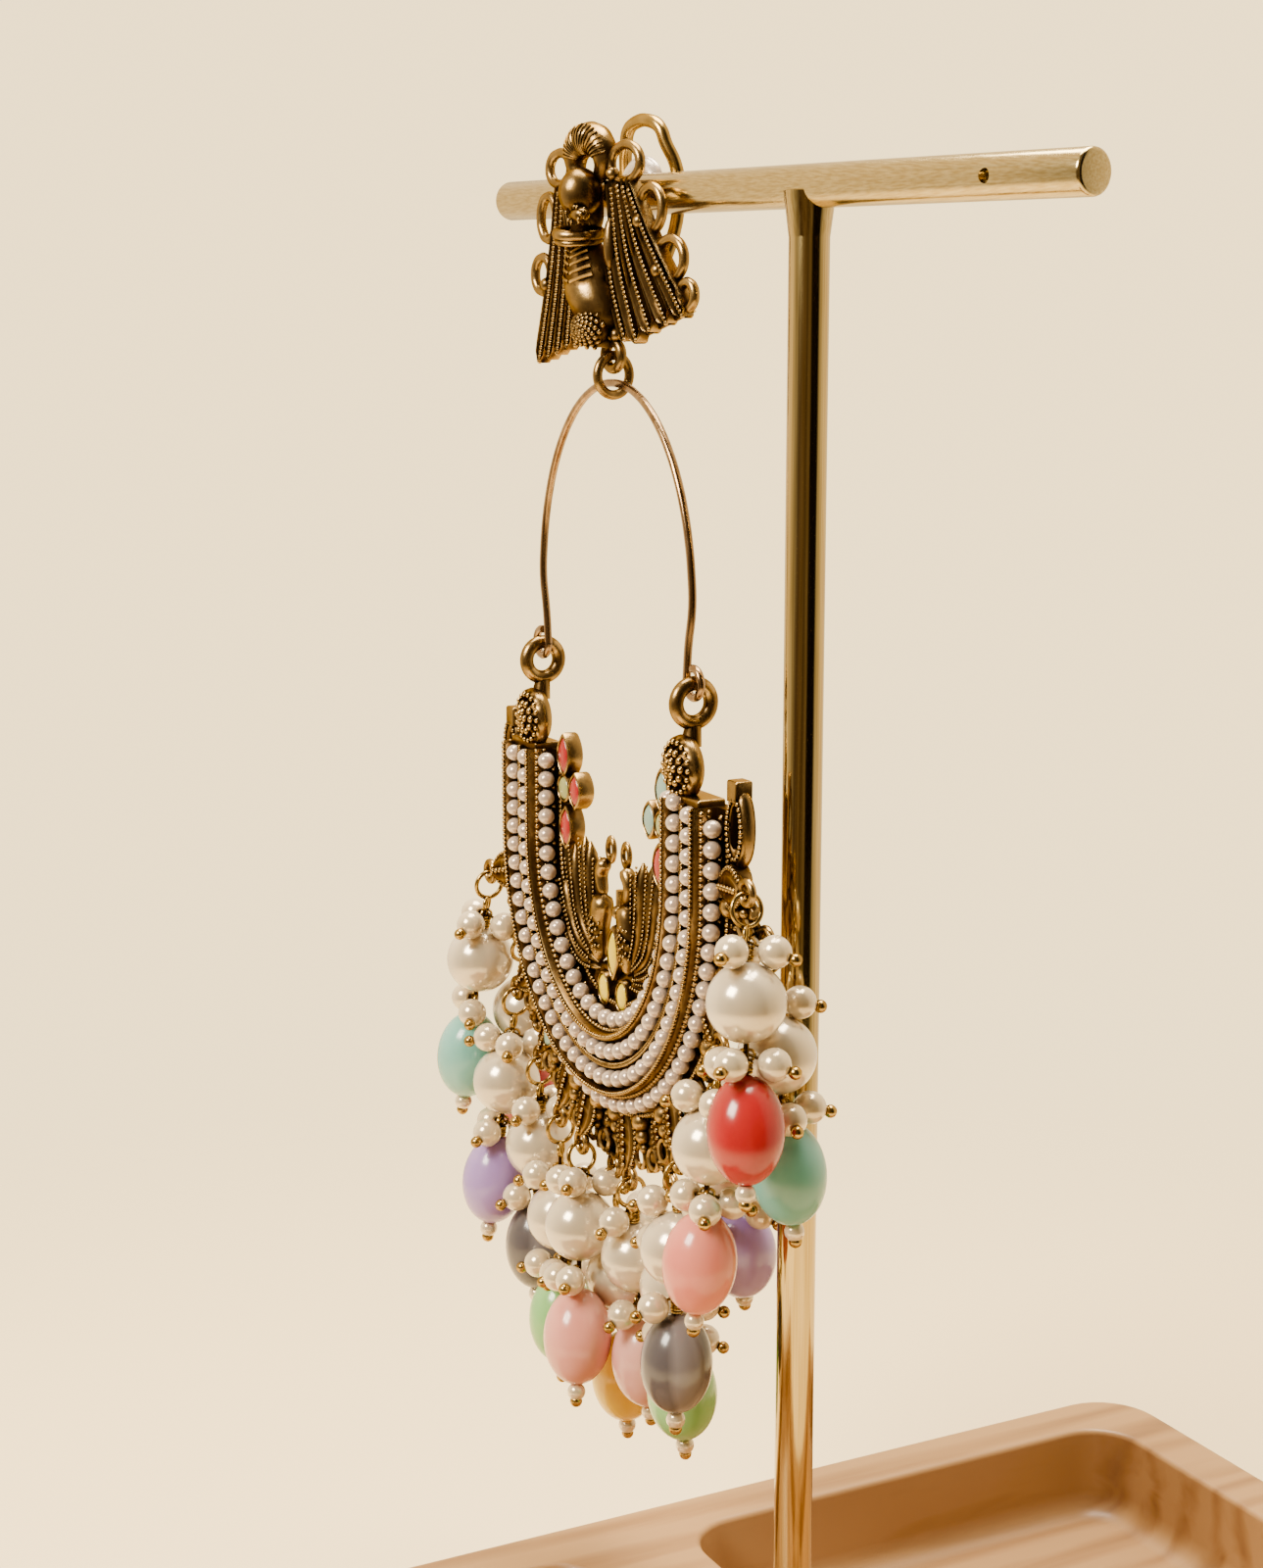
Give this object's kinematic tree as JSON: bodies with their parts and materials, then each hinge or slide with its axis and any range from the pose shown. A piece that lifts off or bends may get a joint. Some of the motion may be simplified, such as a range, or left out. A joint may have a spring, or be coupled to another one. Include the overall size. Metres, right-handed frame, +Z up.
{
  "type": "chandelier earring on a t-bar stand",
  "caption": "Clip-on chandelier earring with a peacock plate, a wire arch, a pearl-set crescent and a fringe of pearl and bead drops, clipped on a plain T-bar stand with a tray base.",
  "frame": {"origin": "centre of the post on the underside of the tray", "axes": "+Z up along the post, -Y towards the earring's front, X along the tray's short side"},
  "size_m": [0.1007, 0.146, 0.1762],
  "materials": {
    "wood": "satin",
    "stand_brass": "polished",
    "antique_gold": "antique",
    "gold_findings": "polished",
    "rose_gold_wire": "polished",
    "white_pad": "satin",
    "seed_pearl": "lustre",
    "pearl": "lustre",
    "bead_red": "glossy",
    "bead_teal": "glossy",
    "bead_pink": "glossy",
    "bead_lavender": "glossy",
    "bead_grey": "glossy",
    "bead_green": "glossy",
    "bead_pale_pink": "glossy",
    "bead_yellow": "glossy",
    "bead_light_pink": "glossy"
  },
  "bodies": {
    "stand": {"tray_base": "wood", "stand_t_bar": "stand_brass", "ear_plate": "antique_gold"},
    "clip": {"clip_loop": "antique_gold", "clip_pad": "white_pad"},
    "ring": {"connector_ring": "antique_gold"},
    "arch": {"arch_wire": "rose_gold_wire"},
    "crescent": {"crescent_frame": "antique_gold", "pearl_row_inner": "seed_pearl", "pearl_row_face_1": "seed_pearl", "pearl_row_face_2": "seed_pearl", "pearl_row_outer": "seed_pearl", "drop_01_pin": "gold_findings", "drop_01_pearl": "pearl", "drop_01_bead": "bead_red", "drop_02_pin": "gold_findings", "drop_02_pearl": "pearl", "drop_02_bead": "bead_teal", "drop_03_pin": "gold_findings", "drop_03_pearl": "pearl", "drop_03_bead": "bead_pink", "drop_04_pin": "gold_findings", "drop_04_pearl": "pearl", "drop_04_bead": "bead_lavender", "drop_05_pin": "gold_findings", "drop_05_pearl": "pearl", "drop_05_bead": "bead_grey", "drop_06_pin": "gold_findings", "drop_06_pearl": "pearl", "drop_06_bead": "bead_green", "drop_07_pin": "gold_findings", "drop_07_pearl": "pearl", "drop_07_bead": "bead_pale_pink", "drop_08_pin": "gold_findings", "drop_08_pearl": "pearl", "drop_08_bead": "bead_yellow", "drop_09_pin": "gold_findings", "drop_09_pearl": "pearl", "drop_09_bead": "bead_light_pink", "drop_10_pin": "gold_findings", "drop_10_pearl": "pearl", "drop_10_bead": "bead_green", "drop_11_pin": "gold_findings", "drop_11_pearl": "pearl", "drop_11_bead": "bead_grey", "drop_12_pin": "gold_findings", "drop_12_pearl": "pearl", "drop_12_bead": "bead_lavender", "drop_13_pin": "gold_findings", "drop_13_pearl": "pearl", "drop_13_bead": "bead_red", "drop_14_pin": "gold_findings", "drop_14_pearl": "pearl", "drop_14_bead": "bead_teal"}
  },
  "joints": [
    {"name": "clip_lever", "type": "hinge", "parent": "stand", "child": "clip", "pos_m": [-0.03066, -0.00571, 0.1565], "axis": [-0.988, -0.1547, 0], "range_deg": [0, 60]},
    {"name": "ring_swing", "type": "hinge", "parent": "stand", "child": "ring", "pos_m": [-0.02629, -0.00705, 0.152], "axis": [-0.988, -0.1547, 0], "range_deg": [0, 20]},
    {"name": "arch_swing", "type": "hinge", "parent": "ring", "child": "arch", "pos_m": [-0.02629, -0.00705, 0.14922], "axis": [-1, 0, 0], "range_deg": [0, 10]},
    {"name": "crescent_swing", "type": "hinge", "parent": "arch", "child": "crescent", "pos_m": [-0.02629, -0.00705, 0.12055], "axis": [-1, 0, 0], "range_deg": [0, 15]}
  ]
}
